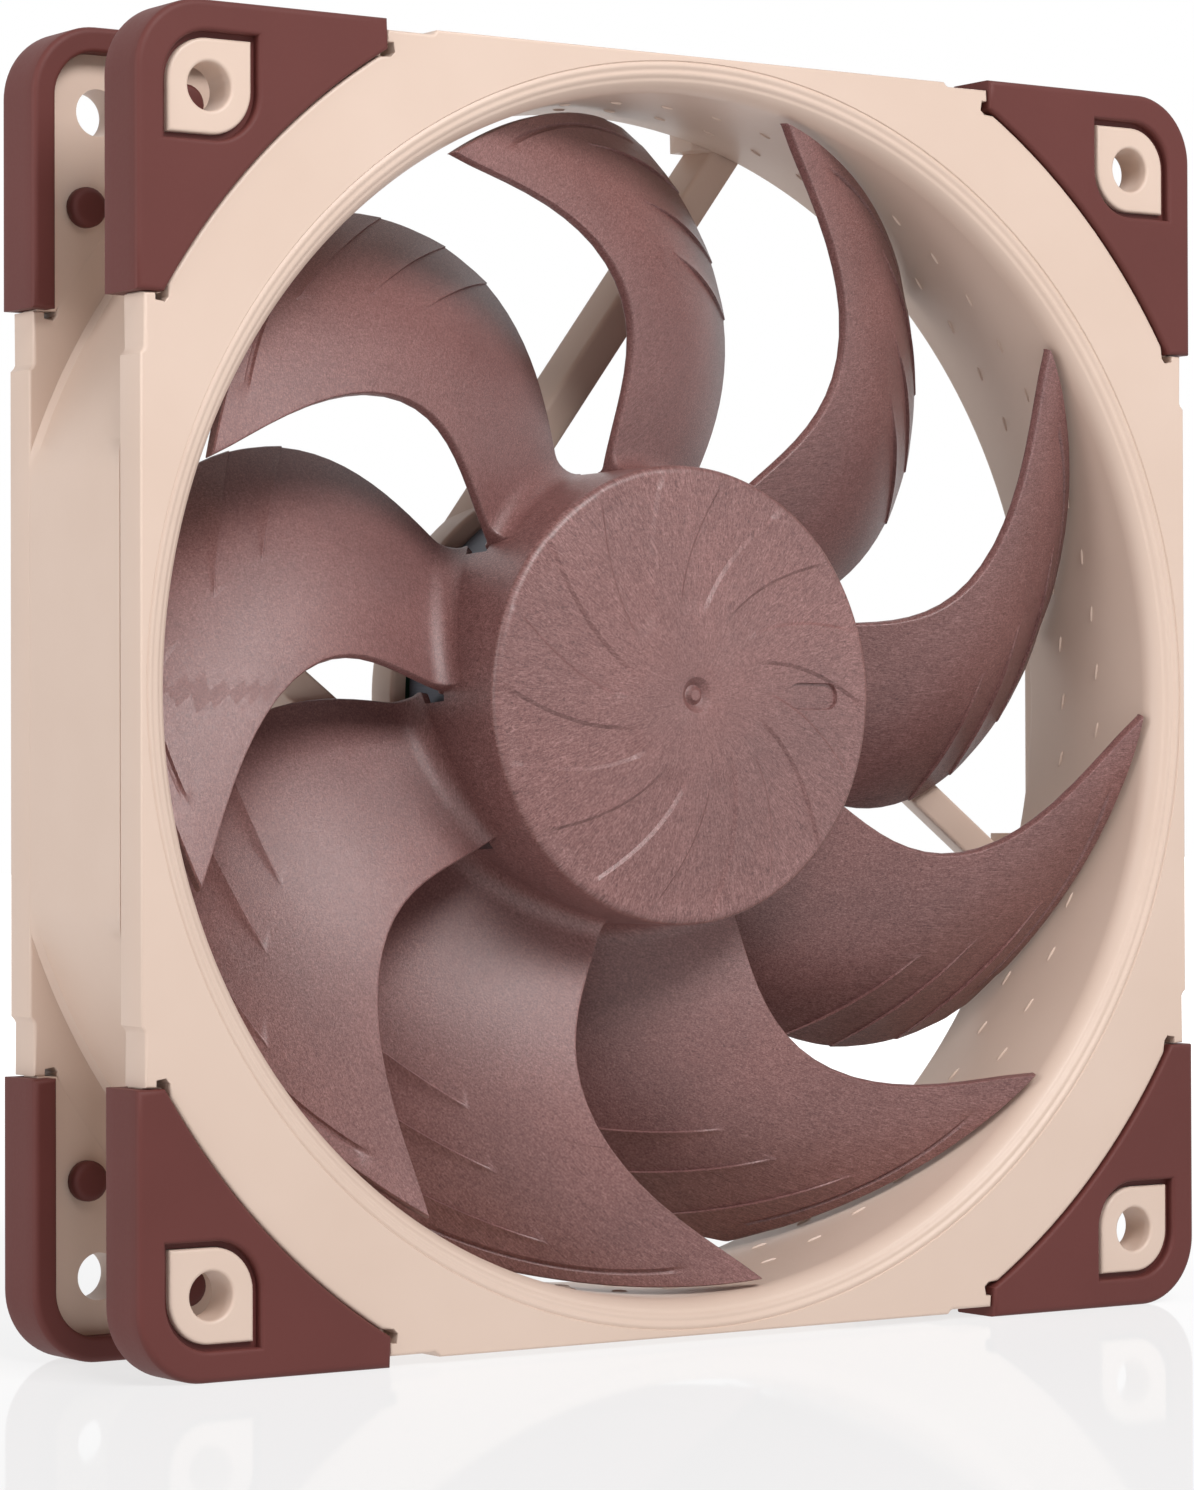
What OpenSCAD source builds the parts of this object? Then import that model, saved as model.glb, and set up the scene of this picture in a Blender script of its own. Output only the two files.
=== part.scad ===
// Axial case fan, 120 mm square and 25 mm deep.
// The turning axis is Y and the origin is the centre of the body. The intake face
// looks along -Y and the outlet face along +Y, and the fan stands on its lower edge.
// Every module is drawn lying down, with its own z axis towards the intake, and
// facing() stands it up.

/* [Body] */
// Outside width and height over the corner pads
body_w = 120; // [119.6:0.2:120.6]
// Outside depth over the corner pads
body_d = 25; // [24.8:0.1:25.4]
// Thickness of each square flange
flange_t = 3.8; // [3.4:0.2:4]
// Distance from the pad's side to the flange's side, in the middle of a side
side_inset = 0.6; // [0.4:0.1:0.8]
// Half length of the widest middle stretch of a flange's side
side_mid = 29; // [27:1:31]

/* [Duct] */
// Inner radius of the duct
duct_r = 56.1; // [55.9:0.1:56.4]
// Outer radius of the barrel, before its four sides are cut flat
barrel_r = 62.6; // [62:0.2:63]
// Radius of the rounded inlet lip
lip_r = 2.8; // [2:0.2:3.2]
// Radius of the wider opening in the rear flange
outlet_r = 60.6; // [59.8:0.2:61]
// Half width of the wider opening, where its four sides are cut flat
outlet_h = 58.6; // [58:0.1:58.7]

/* [Screw holes] */
// Distance between the screw holes, both ways
hole_pitch = 105; // [104.6:0.2:105.4]
// Diameter of a screw hole
hole_d = 4.3; // [4:0.1:4.6]
// Width of the leaf-shaped boss round a screw hole
boss_w = 8.4; // [8:0.2:8.8]
// Radius of the boss's two round corners
boss_round = 4; // [3:0.2:4]

/* [Corner pads] */
// How far a pad stands proud of the frame's face
pad_proud = 0.4; // [0.2:0.1:0.6]
// Thickness of a pad over the flange's face
pad_t = 1.6; // [1.2:0.1:1.8]
// Length of a pad along each side
pad_len = 25.6; // [24:0.2:27]
// Radius of the pad's inner edge, round the duct
pad_arc_r = 66.75; // [66:0.25:67]
// Radius of the pad's outer corner
pad_corner_r = 6.5; // [5.5:0.5:7]
// Thickness of the pad over the flange's sides
pad_side_t = 1.3; // [1.2:0.1:1.6]
// Width of the lip that hooks behind the flange
pad_lip_w = 2.3; // [2:0.1:2.6]
// Height of that lip
pad_lip_h = 1.9; // [1.4:0.1:2.2]
// Distance from the screw hole to each peg, along the side
peg_shift = 8.7; // [8:0.1:9.2]
// Distance from the body's side to each peg
peg_inset = 6.1; // [5.6:0.1:6.6]
// Diameter of a peg's stem
peg_d = 2.4; // [2:0.1:2.6]
// Diameter of a peg's head
peg_head_d = 3.7; // [3.2:0.1:4]

/* [Struts and motor base] */
// Radius of the motor base
base_r = 21.4; // [21:0.1:21.6]
// Depth of the motor base and the struts
base_d = 4; // [3.8:0.1:4.2]
// Distance from the axis to the strut's inner face, at its front
strut_in = 16.5; // [16:0.1:17]
// Width of a strut
strut_w = 3.3; // [3:0.1:3.6]
// How far a strut leans outwards over its depth
strut_lean = 0.9; // [0.6:0.1:1.2]
// Direction of the first strut
strut_a = 52.8; // [51:0.2:54]

/* [Impeller] */
// Number of blades
blade_count = 9; // [7:1:9]
// Radius over the blade tips
blade_tip_r = 55.4; // [55:0.1:55.5]
// Thickness of a blade
blade_t = 1.3; // [1.1:0.1:1.5]
// Radius of the hub
hub_r = 21.5; // [21.3:0.1:21.6]
// Height of the middle of the hub's domed face
hub_top = 11.5; // [11:0.1:11.7]
// Height of the hub's rim
hub_rim_z = 9.75; // [9.5:0.05:9.9]
// Height where the hub's skirt ends between the blades
skirt_z = 1; // [0.6:0.1:1.4]

/* [Motor] */
// Diameter of the shaft
shaft_d = 3; // [2.8:0.1:3.2]
// Outer radius of the steel yoke
yoke_r = 19.9; // [19.7:0.05:19.9]
// Wall of the steel yoke
yoke_t = 0.8; // [0.7:0.05:0.9]
// Radial thickness of the rotor magnet
magnet_t = 1.75; // [1.6:0.05:1.8]
// Gap between the stator and the magnet
air_gap = 0.4; // [0.35:0.05:0.5]
// Outer radius of the bearing tube that stands on the base
tube_r = 4.3; // [4.2:0.05:4.4]
// Outer radius of the brass bearing shell
shell_r = 3.5; // [3.45:0.05:3.5]
/* [Hidden] */

$fn = 96;
eps = 0.01;
// Clearance of a push fit, play of the shaft in its sleeve, and the gap round a pad
fit = 0.05;
play = 0.03;
seat_gap = 0.3;
// The motor has as many coils as stator poles
pole_count = 4;

half_w = body_w / 2;
face_z = body_d / 2 - pad_proud;
side_h = half_w - side_inset;
core_h = half_w - pad_side_t - fit;
gap_z = face_z - flange_t;
seat_z = body_d / 2 - pad_t;
pad_edge = half_w - pad_len;
hole_at = hole_pitch / 2;

// Heights in the motor, counted from the middle of the body
tube_top = 3.4;
bore_floor = -11.1;
plate_z = 7.95;
yoke_rear = -7.4;
magnet_half = 6.8;
shaft_front = 7.7;
shaft_rear = -10;
sleeve_top = 2.2;
sleeve_rear = -8.2;
groove_z = -8.95;
groove_h = 0.5;
board_z0 = -9.6;
board_z1 = -8.6;

frame_col = "#E6CDB5";
pad_col = "#6B3B38";
blade_col = "#7A5250";
steel_col = "#5A5D61";
bright_col = "#B9BCBF";
brass_col = "#B9974F";
sleeve_col = "#8C6A3C";
nylon_col = "#D9D3C3";
core_col = "#70767C";
part_col = "#9C8C74";
label_col = "#C9C4BC";
copper_col = "#B5673A";
black_col = "#26262A";
board_col = "#1F2A24";

// ---- Shared shapes ----

// Stands a lying shape up: its z axis turns to -Y and its y axis to Z.
module facing() {
  rotate([90, 0, 0]) children();
}

module ring(r_out, r_in, z0, z1) {
  translate([0, 0, z0]) difference() {
    cylinder(r = r_out, h = z1 - z0);
    translate([0, 0, -1]) cylinder(r = r_in, h = z1 - z0 + 2);
  }
}

module disc(r, z0, z1) {
  translate([0, 0, z0]) cylinder(r = r, h = z1 - z0);
}

// A square with round corners, made of squares and circles only.
module round_square(h, r) {
  square([2 * h, 2 * (h - r)], center = true);
  square([2 * (h - r), 2 * h], center = true);
  for (sx = [-1, 1], sy = [-1, 1]) translate([sx * (h - r), sy * (h - r)]) circle(r = r);
}

module round_rect(hx, hy, r) {
  square([2 * hx, 2 * (hy - r)], center = true);
  square([2 * (hx - r), 2 * hy], center = true);
  for (sx = [-1, 1], sy = [-1, 1]) translate([sx * (hx - r), sy * (hy - r)]) circle(r = r, $fn = 32);
}

// The leaf round a screw hole: a square with its two diagonal corners rounded.
module leaf(w, r) {
  h = w / 2;
  difference() {
    square([w, w], center = true);
    for (s = [-1, 1]) difference() {
      translate([s * (h - r / 2), s * (h - r / 2)]) square([r + eps, r + eps], center = true);
      translate([s * (h - r), s * (h - r)]) circle(r = r);
    }
  }
}

module at_corners() {
  for (a = [0, 90, 180, 270]) rotate(a) children();
}

// ---- Frame ----

module flange_outline() {
  step_h = side_h - 0.4;
  step_y = pad_edge - seat_gap;
  round_square(core_h, pad_corner_r - pad_side_t);
  for (a = [0, 90]) rotate(a) {
    square([2 * side_h, 2 * side_mid], center = true);
    square([2 * step_h, 2 * step_y], center = true);
  }
}

// The corner of a flange's face that is sunk for the pad.
module pad_seat() {
  relief_r = 0.7;
  relief_in = 2.5;
  start = pad_edge - seat_gap;
  difference() {
    translate([start, start]) square(half_w);
    circle(r = pad_arc_r - seat_gap, $fn = 180);
    translate([hole_at, hole_at]) leaf(boss_w, boss_round);
  }
  for (m = [0, 1]) mirror([m, -m]) translate([half_w - relief_in, start]) circle(r = relief_r);
}

module flange() {
  difference() {
    translate([0, 0, gap_z]) linear_extrude(flange_t) flange_outline();
    at_corners() {
      translate([0, 0, seat_z]) linear_extrude(pad_t) pad_seat();
      translate([hole_at, hole_at, 0]) cylinder(d = hole_d, h = body_d, $fn = 48);
      for (m = [0, 1]) mirror([m, -m, 0]) translate([half_w - peg_inset, hole_at - peg_shift, 0])
        cylinder(d = peg_d + 2 * fit, h = body_d, $fn = 32);
    }
  }
}

module barrel() {
  intersection() {
    cylinder(r = barrel_r, h = 2 * face_z - 2, center = true, $fn = 180);
    cube([2 * side_h, 2 * side_h, body_d], center = true);
  }
}

module air_passage() {
  cylinder(r = duct_r, h = body_d + 2, center = true, $fn = 180);
  rotate_extrude($fn = 180) difference() {
    translate([duct_r - 1, face_z - lip_r]) square([lip_r + 1, lip_r + 1]);
    translate([duct_r + lip_r, face_z - lip_r]) circle(r = lip_r);
  }
  translate([0, 0, -body_d]) linear_extrude(body_d - gap_z) intersection() {
    circle(r = outlet_r, $fn = 180);
    square(2 * outlet_h, center = true);
  }
}

// One strut: a leaning bar, tangent to the base, that ends in a block at the duct.
module strut() {
  strut_l = 55.5;
  rotate([90, 0, 90]) linear_extrude(strut_l) polygon([
    [strut_in, -gap_z],
    [strut_in + strut_w, -gap_z],
    [strut_in + strut_lean + strut_w, -face_z],
    [strut_in + strut_lean, -face_z]
  ]);
}

module struts() {
  block_x = 13.5;
  block_w = 8.6;
  block_y = 53.9;
  intersection() {
    union() {
      at_corners() {
        rotate(strut_a) strut();
        translate([block_x, block_y, -face_z]) cube([block_w, half_w - block_y, face_z - gap_z]);
      }
    }
    linear_extrude(body_d, center = true) square(2 * side_h - 1, center = true);
  }
}

module motor_base() {
  wall_t = 1.5;
  floor_t = 1.2;
  collar_r = 5.6;
  floor_z = -face_z + floor_t;
  bore = shell_r + fit;
  difference() {
    union() {
      disc(base_r, -face_z, -face_z + base_d);
      struts();
    }
    disc(base_r - wall_t, floor_z, 0);
  }
  ring(tube_r, bore, floor_z - eps, tube_top);
  ring(collar_r, bore, floor_z - eps, board_z0);
}

// Channel for a lead, from inside the base through the rear of the lower right strut.
module lead_channel() {
  channel_d = 1.6;
  channel_w = strut_w - 1.4;
  mouth = 1.2;
  rotate(strut_a - 90) {
    translate([base_r - 8, strut_in + strut_lean + (strut_w - channel_w) / 2, -face_z - 1])
      cube([45, channel_w, channel_d + 1]);
    translate([base_r - 14, strut_in - 1.5, -face_z + mouth]) cube([8, 4, channel_d]);
  }
}

module frame() {
  color(frame_col) facing() difference() {
    union() {
      difference() {
        union() {
          flange();
          mirror([0, 0, 1]) flange();
          barrel();
        }
        air_passage();
      }
      motor_base();
    }
    disc(shell_r + fit, bore_floor, 0);
    disc(label_r + 2 * fit, -face_z - 1, -face_z + label_seat);
    lead_channel();
  }
}

// ---- Corner pads ----

module pad_sector() {
  translate([pad_edge, pad_edge]) square(half_w);
}

module pad_cap() {
  boss_gap = 0.55;
  difference() {
    intersection() {
      round_square(half_w, pad_corner_r);
      pad_sector();
    }
    circle(r = pad_arc_r, $fn = 180);
    translate([hole_at, hole_at]) leaf(boss_w + 2 * boss_gap, boss_round + boss_gap);
  }
}

// The part of the pad that lies outside a smaller round square.
module pad_band(inner_h) {
  difference() {
    intersection() {
      round_square(half_w, pad_corner_r);
      pad_sector();
    }
    round_square(inner_h, pad_corner_r - (half_w - inner_h));
  }
}

module pad_peg() {
  head_h = 1.4;
  translate([half_w - peg_inset, hole_at - peg_shift, 0]) {
    disc(peg_d / 2, gap_z - head_h, seat_z + eps, $fn = 32);
    disc(peg_head_d / 2, gap_z - head_h, gap_z - fit, $fn = 32);
  }
}

// The pad of the +x, +y corner of the intake face.
module corner_pad() {
  color(pad_col) union() {
    translate([0, 0, seat_z]) linear_extrude(pad_t) pad_cap();
    translate([0, 0, gap_z - pad_lip_h]) linear_extrude(seat_z - gap_z + pad_lip_h + eps)
      pad_band(half_w - pad_side_t);
    translate([0, 0, gap_z - pad_lip_h]) linear_extrude(pad_lip_h - fit)
      pad_band(half_w - pad_lip_w);
    pad_peg();
    mirror([1, -1, 0]) pad_peg();
  }
}

module front_pad_top_right() { facing() corner_pad(); }
module front_pad_top_left() { facing() mirror([1, 0, 0]) corner_pad(); }
module front_pad_bottom_right() { facing() mirror([0, 1, 0]) corner_pad(); }
module front_pad_bottom_left() { facing() rotate(180) corner_pad(); }
module rear_pad_top_right() { facing() mirror([0, 0, 1]) corner_pad(); }
module rear_pad_top_left() { facing() mirror([0, 0, 1]) mirror([1, 0, 0]) corner_pad(); }
module rear_pad_bottom_right() { facing() mirror([0, 0, 1]) mirror([0, 1, 0]) corner_pad(); }
module rear_pad_bottom_left() { facing() mirror([0, 0, 1]) rotate(180) corner_pad(); }

// ---- Impeller ----

blade_root_r = 20.7;
curve_root_r = 21;

// Span position of a radius: 0 at the hub, 1 at the tip
function span_at(r) = (r - curve_root_r) / (blade_tip_r - curve_root_r);
// Angle and height of the leading and trailing edges along the span
function lead_a(s) = -21.7 - 19.5 * s - 28.9 * s * s + 162.4 * pow(s, 3) - 94.4 * pow(s, 4);
function lead_z(s) = 1.6 + 8.1 * s + 0.4 * s * s + 0.5 * pow(s, 3);
function trail_a(s) = -57 - 19.7 * s + 43.2 * s * s;
function trail_z(s) = -4.4 - 10 * s + 8.8 * s * s;
// Point t of the way along the chord, which is flatter near the leading edge
function chord_a(s, t) = lead_a(s) + (trail_a(s) - lead_a(s)) * t;
function chord_z(s, t) = lead_z(s) + (trail_z(s) - lead_z(s)) * (0.6 * t + 0.4 * t * t);
// Slope of the chord there, as [along the circle, up]
function chord_dir(r, s, t) = [
  (trail_a(s) - lead_a(s)) * PI / 180 * r,
  (trail_z(s) - lead_z(s)) * (0.6 + 0.8 * t)
];
function thick_at(t) = blade_t * (0.45 + 0.55 * sin(180 * t));
// Surface point: side 0 is the intake side and side 1 the outlet side
function blade_point(r, t, side) =
  let (s = span_at(r), d = chord_dir(r, s, t), l = norm(d), h = side * thick_at(t))
  let (a = chord_a(s, t) - h * d[1] / l / r * 180 / PI, z = chord_z(s, t) + h * d[0] / l)
  [r * cos(a), r * sin(a), z];

module blade() {
  rows = 10;
  cols = 7;
  span = blade_tip_r - blade_root_r;
  ring_n = 2 * (cols + 1);
  points = [
    for (i = [0:rows]) let (r = blade_root_r + span * i / rows)
      for (k = [0:ring_n - 1])
        k <= cols ? blade_point(r, k / cols, 0) : blade_point(r, (ring_n - 1 - k) / cols, 1)
  ];
  sides = [
    for (i = [0:rows - 1], k = [0:ring_n - 1])
      let (a = i * ring_n + k, b = i * ring_n + (k + 1) % ring_n)
        each [[a, b + ring_n, b], [a, a + ring_n, b + ring_n]]
  ];
  caps = [
    for (k = [0:cols - 1]) let (a = k, b = k + 1, c = ring_n - 1 - k, d = ring_n - 2 - k, e = rows * ring_n)
      each [[a, b, d], [a, d, c], [a + e, d + e, b + e], [a + e, c + e, d + e]]
  ];
  polyhedron(points, concat(sides, caps), convexity = 6);
}

// The tongue of the hub's skirt that carries a blade's root.
module root_tongue() {
  steps = 4;
  below = 0.7;
  top = skirt_z + 1;
  half_a = (lead_a(0) - trail_a(0)) / 2;
  half_l = hub_r * sin(half_a);
  intersection() {
    ring(hub_r - fit, yoke_r + 2 * fit, -face_z, skirt_z + 0.5);
    rotate(lead_a(0) - half_a) translate([yoke_r - 2, 0, 0]) rotate([90, 0, 90]) linear_extrude(6)
      polygon([
        for (i = [0:steps]) [hub_r * sin(half_a * (1 - 2 * i / steps)), chord_z(0, i / steps) - below],
        [-half_l, top],
        [half_l, top]
      ]);
  }
}

module hub_shell() {
  inner_z = 8;
  edge = 0.9;
  dimple_r = 1.25;
  dimple_up = 0.4;
  dome_r = (pow(hub_r - edge, 2) + pow(hub_top - hub_rim_z, 2)) / (2 * (hub_top - hub_rim_z));
  difference() {
    union() {
      intersection() {
        translate([0, 0, hub_top - dome_r]) sphere(r = dome_r, $fn = 200);
        disc(hub_r - edge, hub_rim_z - edge - eps, hub_top + 1);
      }
      rotate_extrude() translate([hub_r - edge, hub_rim_z - edge]) circle(r = edge, $fn = 32);
      disc(hub_r, skirt_z, hub_rim_z - edge);
      disc(hub_r - edge, skirt_z, hub_rim_z - edge + eps);
    }
    disc(yoke_r + fit, skirt_z - 1, inner_z);
    translate([0, 0, hub_top + dimple_up]) sphere(r = dimple_r, $fn = 32);
  }
}

module impeller() {
  color(blade_col) facing() union() {
    hub_shell();
    for (k = [0:blade_count - 1]) rotate(k * 360 / blade_count) {
      blade();
      root_tongue();
    }
  }
}

// ---- Rotor ----

bush_r = 3.2;
shaft_r = shaft_d / 2;
groove_t = 0.35;
magnet_r = yoke_r - yoke_t - fit;

module rotor_yoke() {
  color(steel_col) facing() difference() {
    disc(yoke_r, yoke_rear, plate_z);
    disc(yoke_r - yoke_t, yoke_rear - 1, plate_z - yoke_t);
    disc(bush_r + fit, 0, body_d);
  }
}

module rotor_magnet() {
  color(black_col) facing() ring(magnet_r, magnet_r - magnet_t, -magnet_half, magnet_half);
}

module shaft_bush() {
  bush_l = 3.55;
  color(brass_col) facing() ring(bush_r, shaft_r + eps, plate_z - bush_l, plate_z);
}

module shaft() {
  color(bright_col) facing() difference() {
    disc(shaft_r, shaft_rear, shaft_front, $fn = 48);
    ring(shaft_d, shaft_r - groove_t, groove_z, groove_z + groove_h);
  }
}

// A split washer that sits in the shaft's groove.
module retaining_ring() {
  washer_r = 2.3;
  open_w = 1.2;
  side_gap = 0.04;
  color(bright_col) facing() difference() {
    ring(washer_r, shaft_r - groove_t + 0.02, groove_z + side_gap, groove_z + groove_h - side_gap);
    translate([0, -open_w / 2, groove_z - 1]) cube([2 * washer_r, open_w, 3]);
  }
}

// ---- Bearing ----

shell_in = 2.75;
part_r = shell_in - fit;
cap_top = shaft_rear - 0.37;

module bearing_shell() {
  color(brass_col) facing() ring(shell_r, shell_in, bore_floor + fit, tube_top - 0.2);
}

module bearing_sleeve() {
  color(sleeve_col) facing() ring(part_r, shaft_r + play, sleeve_rear, sleeve_top);
}

module oil_seal() {
  seal_gap = 0.1;
  seal_t = 0.5;
  color(black_col) facing()
    ring(part_r, shaft_r + 0.15, sleeve_top + seal_gap, sleeve_top + seal_gap + seal_t);
}

// The small ring magnet below the retaining ring, which steadies the rotor.
module axial_magnet() {
  magnet_h = 1.05;
  below_groove = 0.3;
  top = groove_z - below_groove;
  color(black_col) facing() ring(part_r, shaft_r + 0.35, top - magnet_h, top);
}

module thrust_pad() {
  color(nylon_col) facing() disc(shaft_r, cap_top + 0.02, shaft_rear - 0.02);
}

module bearing_cap() {
  color(brass_col) facing() disc(part_r, bore_floor + 2 * fit, cap_top);
}

// ---- Stator ----

core_r = magnet_r - magnet_t - air_gap;
core_half = 3.4;
core_in = tube_r + fit;
web_w = 3.2;
shoe_t = 2.2;
hub_ring_r = 6.8;
shoe_in = core_r - shoe_t;
pin_at = 5.9;
pin_r = 0.3;

module at_poles() {
  for (k = [0:pole_count - 1]) rotate(45 + k * 360 / pole_count) children();
}

// Wedges that part the pole shoes, each shoe reaching half_a degrees either way.
module shoe_gaps(half_a) {
  gap_a = 90 - 2 * half_a;
  far = 2 * core_r;
  at_poles() rotate(half_a) polygon([[0, 0], [far, 0], [far * cos(gap_a), far * sin(gap_a)]]);
}

// Plan of the core: a hub ring, four webs and four curved shoes, set in by trim.
module pole_plan(half_a, trim) {
  circle(r = hub_ring_r);
  at_poles() translate([0, -web_w / 2]) square([core_r - 1, web_w]);
  difference() {
    circle(r = core_r - trim);
    circle(r = shoe_in + trim);
    shoe_gaps(half_a);
  }
}

module stator_core() {
  color(core_col) facing() translate([0, 0, -core_half]) linear_extrude(2 * core_half) difference() {
    pole_plan(38, 0);
    circle(r = core_in);
  }
}

// An insulator plate with a collar and four winding fences. Legs reach the board.
module insulator(legs) {
  plate_t = 0.7;
  fence_t = 0.9;
  collar_h = 2.2;
  fence_h = 2.4;
  trim = 0.2;
  leg_h = -board_z1 - core_half - fit;
  translate([0, 0, core_half + fit]) {
    linear_extrude(plate_t) difference() {
      pole_plan(36, trim);
      circle(r = core_in);
    }
    ring(hub_ring_r, hub_ring_r - fence_t, 0, collar_h);
    linear_extrude(fence_h) difference() {
      circle(r = shoe_in + trim + fence_t);
      circle(r = shoe_in + trim);
      shoe_gaps(28);
    }
    if (legs) ring(hub_ring_r, core_in, 0, leg_h);
  }
}

module upper_insulator() {
  color(nylon_col) facing() insulator(false);
}

module lower_insulator() {
  color(nylon_col) facing() difference() {
    mirror([0, 0, 1]) insulator(true);
    at_pins() disc(pin_r + fit, -body_d, 0, $fn = 24);
  }
}

module at_pins() {
  at_corners() translate([pin_at, 0, 0]) children();
}

module coil(k) {
  coil_r0 = 7.3;
  coil_l = 6.6;
  half_out = [4.4, 5.6];
  half_in = [web_w / 2 + 0.15, core_half + 0.9];
  color(copper_col) facing() rotate(45 + k * 360 / pole_count) translate([coil_r0, 0, 0])
    rotate([90, 0, 90]) linear_extrude(coil_l) difference() {
      round_rect(half_out[0], half_out[1], 1.6);
      round_rect(half_in[0], half_in[1], 0.2);
    }
}

module coil_1() { coil(0); }
module coil_2() { coil(1); }
module coil_3() { coil(2); }
module coil_4() { coil(3); }

// ---- Circuit board ----

board_r = 19.6;
label_r = 18.1;
label_seat = 0.3;
part_gap = 0.02;

module circuit_board() {
  color(board_col) facing() difference() {
    ring(board_r, tube_r + 2 * fit, board_z0, board_z1);
    at_pins() disc(pin_r + fit, board_z0 - 1, board_z1 + 1, $fn = 24);
  }
}

module terminal_pins() {
  pin_top = -5.8;
  color(bright_col) facing() at_pins() disc(pin_r, board_z0 - 0.3, pin_top, $fn = 24);
}

// The driver sits under the board, with a round mark beside its first leg.
module driver_chip() {
  chip = [5, 4, 1.08];
  corner = [9, -7];
  mark_in = 0.8;
  color(black_col) facing() translate([corner[0], corner[1], board_z0 - part_gap - chip[2]]) difference() {
    cube(chip);
    translate([mark_in, mark_in, 0]) disc(0.3, -1, 0.15, $fn = 24);
  }
}

module hall_sensor() {
  body = [2.6, 3, 0.9];
  color(black_col) facing() rotate(10) translate([15.4, -body[1] / 2, board_z1 + part_gap]) cube(body);
}

module capacitors() {
  body = [3.2, 1.6, 1.2];
  color(part_col) facing() for (a = [80, 100, 190]) rotate(a)
    translate([13, -body[1] / 2, board_z1 + part_gap]) cube(body);
}

module rear_label() {
  color(label_col) facing() disc(label_r, -face_z + part_gap, -face_z + label_seat - 0.01);
}

frame();
front_pad_top_left();
front_pad_top_right();
front_pad_bottom_left();
front_pad_bottom_right();
rear_pad_top_left();
rear_pad_top_right();
rear_pad_bottom_left();
rear_pad_bottom_right();
impeller();
shaft_bush();
shaft();
retaining_ring();
rotor_yoke();
rotor_magnet();
bearing_shell();
bearing_sleeve();
oil_seal();
axial_magnet();
thrust_pad();
bearing_cap();
stator_core();
upper_insulator();
lower_insulator();
coil_1();
coil_2();
coil_3();
coil_4();
circuit_board();
driver_chip();
hall_sensor();
capacitors();
terminal_pins();
rear_label();
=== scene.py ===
import bpy
import bmesh
import math
from mathutils import Vector, Matrix
from mathutils.geometry import tessellate_polygon


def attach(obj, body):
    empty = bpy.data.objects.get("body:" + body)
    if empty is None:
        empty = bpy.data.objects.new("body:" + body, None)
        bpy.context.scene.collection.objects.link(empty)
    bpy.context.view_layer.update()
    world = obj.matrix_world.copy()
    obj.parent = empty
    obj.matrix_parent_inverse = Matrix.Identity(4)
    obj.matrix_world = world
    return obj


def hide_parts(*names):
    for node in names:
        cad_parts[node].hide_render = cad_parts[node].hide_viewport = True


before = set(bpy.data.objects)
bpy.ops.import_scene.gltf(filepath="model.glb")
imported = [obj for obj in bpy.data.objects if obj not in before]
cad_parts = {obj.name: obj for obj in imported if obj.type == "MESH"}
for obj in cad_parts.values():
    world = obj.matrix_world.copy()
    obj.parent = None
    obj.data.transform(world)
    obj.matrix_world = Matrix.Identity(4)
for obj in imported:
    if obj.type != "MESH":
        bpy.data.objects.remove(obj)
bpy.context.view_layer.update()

mm = 0.001


# Plan position and height over the middle of the body, towards the intake, to a point in the scene
def place(x, y, height):
    return (x * mm, -height * mm, y * mm)


def polar(radius, degrees, height):
    a = math.radians(degrees)
    return place(radius * math.cos(a), radius * math.sin(a), height)


def powers(terms, s):
    return sum(k * s ** i for i, k in enumerate(terms))


def ease(x, low=0.0, high=1.0):
    x = min(max((x - low) / (high - low), 0.0), 1.0)
    return x * x * (3 - 2 * x)


# Rows of points joined into quads. Each row closes on itself unless openRows is set.
def gridFaces(rows, openRows=False, closeUp=False):
    verts = [p for row in rows for p in row]
    n = len(rows[0])
    faces = []
    last = len(rows) if closeUp else len(rows) - 1
    for i in range(last):
        k = (i + 1) % len(rows)
        for j in range(n - 1 if openRows else n):
            m = (j + 1) % n
            faces.append((i * n + j, i * n + m, k * n + m, k * n + j))
    return verts, faces


# The open first and last rows of a grid, closed with one face each
def endCaps(verts, faces, rows):
    n = len(rows[0])
    faces.append(tuple(range(n)))
    faces.append(tuple((len(rows) - 1) * n + j for j in range(n)))
    return verts, faces


# One closed shell, cleaned and turned outwards, added to a growing mesh
def addShell(store, verts, faces, turn=None):
    bm = bmesh.new()
    made = [bm.verts.new(v) for v in verts]
    for face in faces:
        corner = []
        for i in face:
            if made[i] not in corner:
                corner.append(made[i])
        if len(corner) > 2:
            bm.faces.new(corner)
    bmesh.ops.remove_doubles(bm, verts=bm.verts, dist=2e-7)
    bmesh.ops.dissolve_degenerate(bm, edges=bm.edges, dist=1e-7)
    loose = [v for v in bm.verts if not v.link_faces]
    bmesh.ops.delete(bm, geom=loose, context="VERTS")
    if turn is not None:
        bm.transform(turn)
    bmesh.ops.recalc_face_normals(bm, faces=bm.faces)
    base = len(store["verts"])
    bm.verts.index_update()
    store["verts"].extend([tuple(v.co) for v in bm.verts])
    store["faces"].extend([[base + v.index for v in f.verts] for f in bm.faces])
    bm.free()


def newStore():
    return {"verts": [], "faces": []}


def joinStore(store, part):
    base = len(store["verts"])
    store["verts"] += part["verts"]
    store["faces"] += [[base + i for i in face] for face in part["faces"]]


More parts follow.
